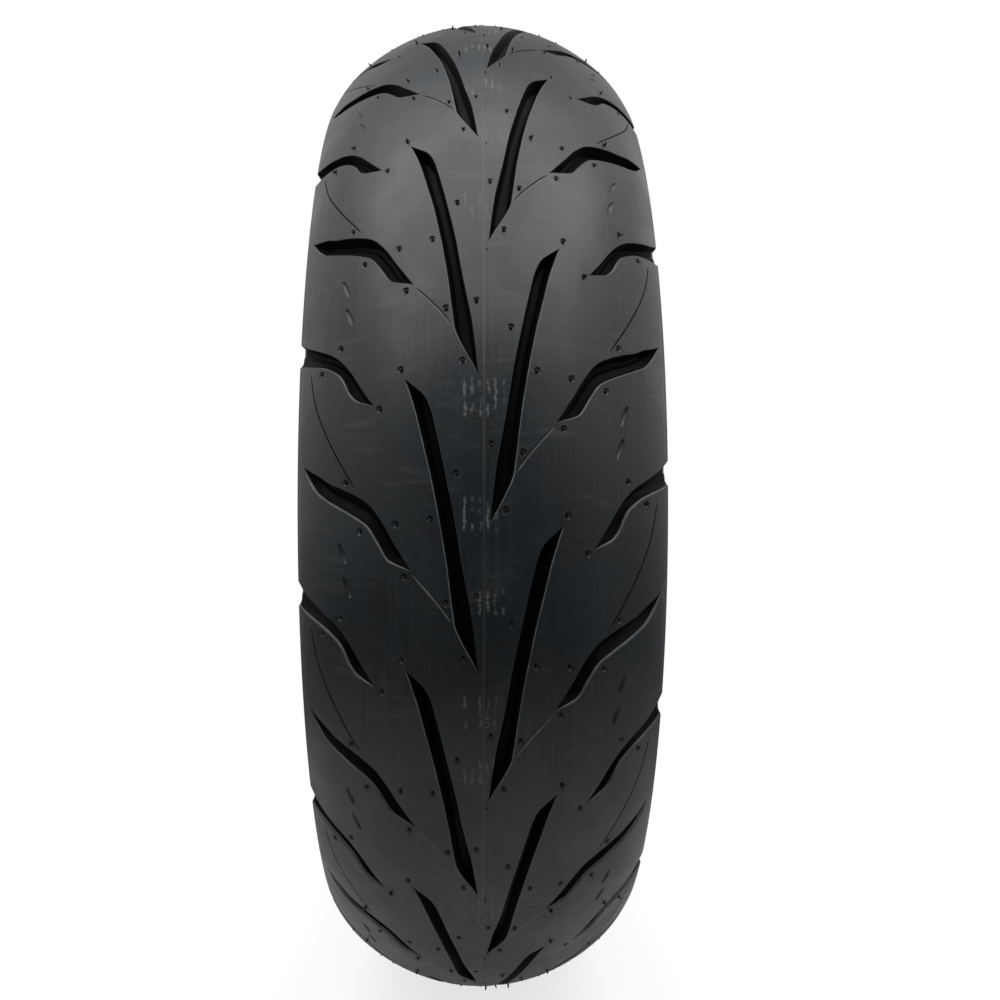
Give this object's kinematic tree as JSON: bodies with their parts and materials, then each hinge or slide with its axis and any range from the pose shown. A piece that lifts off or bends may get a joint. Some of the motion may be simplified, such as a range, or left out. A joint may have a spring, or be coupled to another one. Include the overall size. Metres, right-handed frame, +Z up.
{
  "type": "motorcycle tire",
  "caption": "Tubeless motorcycle or scooter tire with a rounded crown, V-pattern tread grooves, fabric plies, belts and steel bead cores.",
  "frame": {"origin": "centre of the wheel that the tire fits, on the axle line and in the middle of the tread", "axes": "+Y along the axle to the right side; +Z up with the tire standing; +X forward"},
  "size_m": [0.4868, 0.131, 0.4868],
  "materials": {
    "tread_rubber": "satin",
    "sidewall_rubber": "satin",
    "soft_rubber": "matte",
    "liner_rubber": "satin",
    "belt_fabric": "rubber-coated cord",
    "ply_fabric": "rubber-coated cord",
    "bead_steel": "bronze-coated wire"
  },
  "bodies": {
    "root": {"tread": "tread_rubber", "undertread": "soft_rubber", "breaker_outer": "belt_fabric", "breaker_inner": "belt_fabric", "shoulder_cushion_right": "soft_rubber", "shoulder_cushion_left": "soft_rubber", "carcass_ply_outer": "ply_fabric", "carcass_ply_inner": "ply_fabric", "inner_liner": "liner_rubber", "bead_core_right": "bead_steel", "bead_core_left": "bead_steel", "bead_wrap_right": "ply_fabric", "bead_wrap_left": "ply_fabric", "bead_filler_right": "soft_rubber", "bead_filler_left": "soft_rubber", "chafer_right": "ply_fabric", "chafer_left": "ply_fabric", "rim_strip_right": "sidewall_rubber", "rim_strip_left": "sidewall_rubber", "sidewall_right": "sidewall_rubber", "sidewall_left": "sidewall_rubber"}
  },
  "joints": []
}
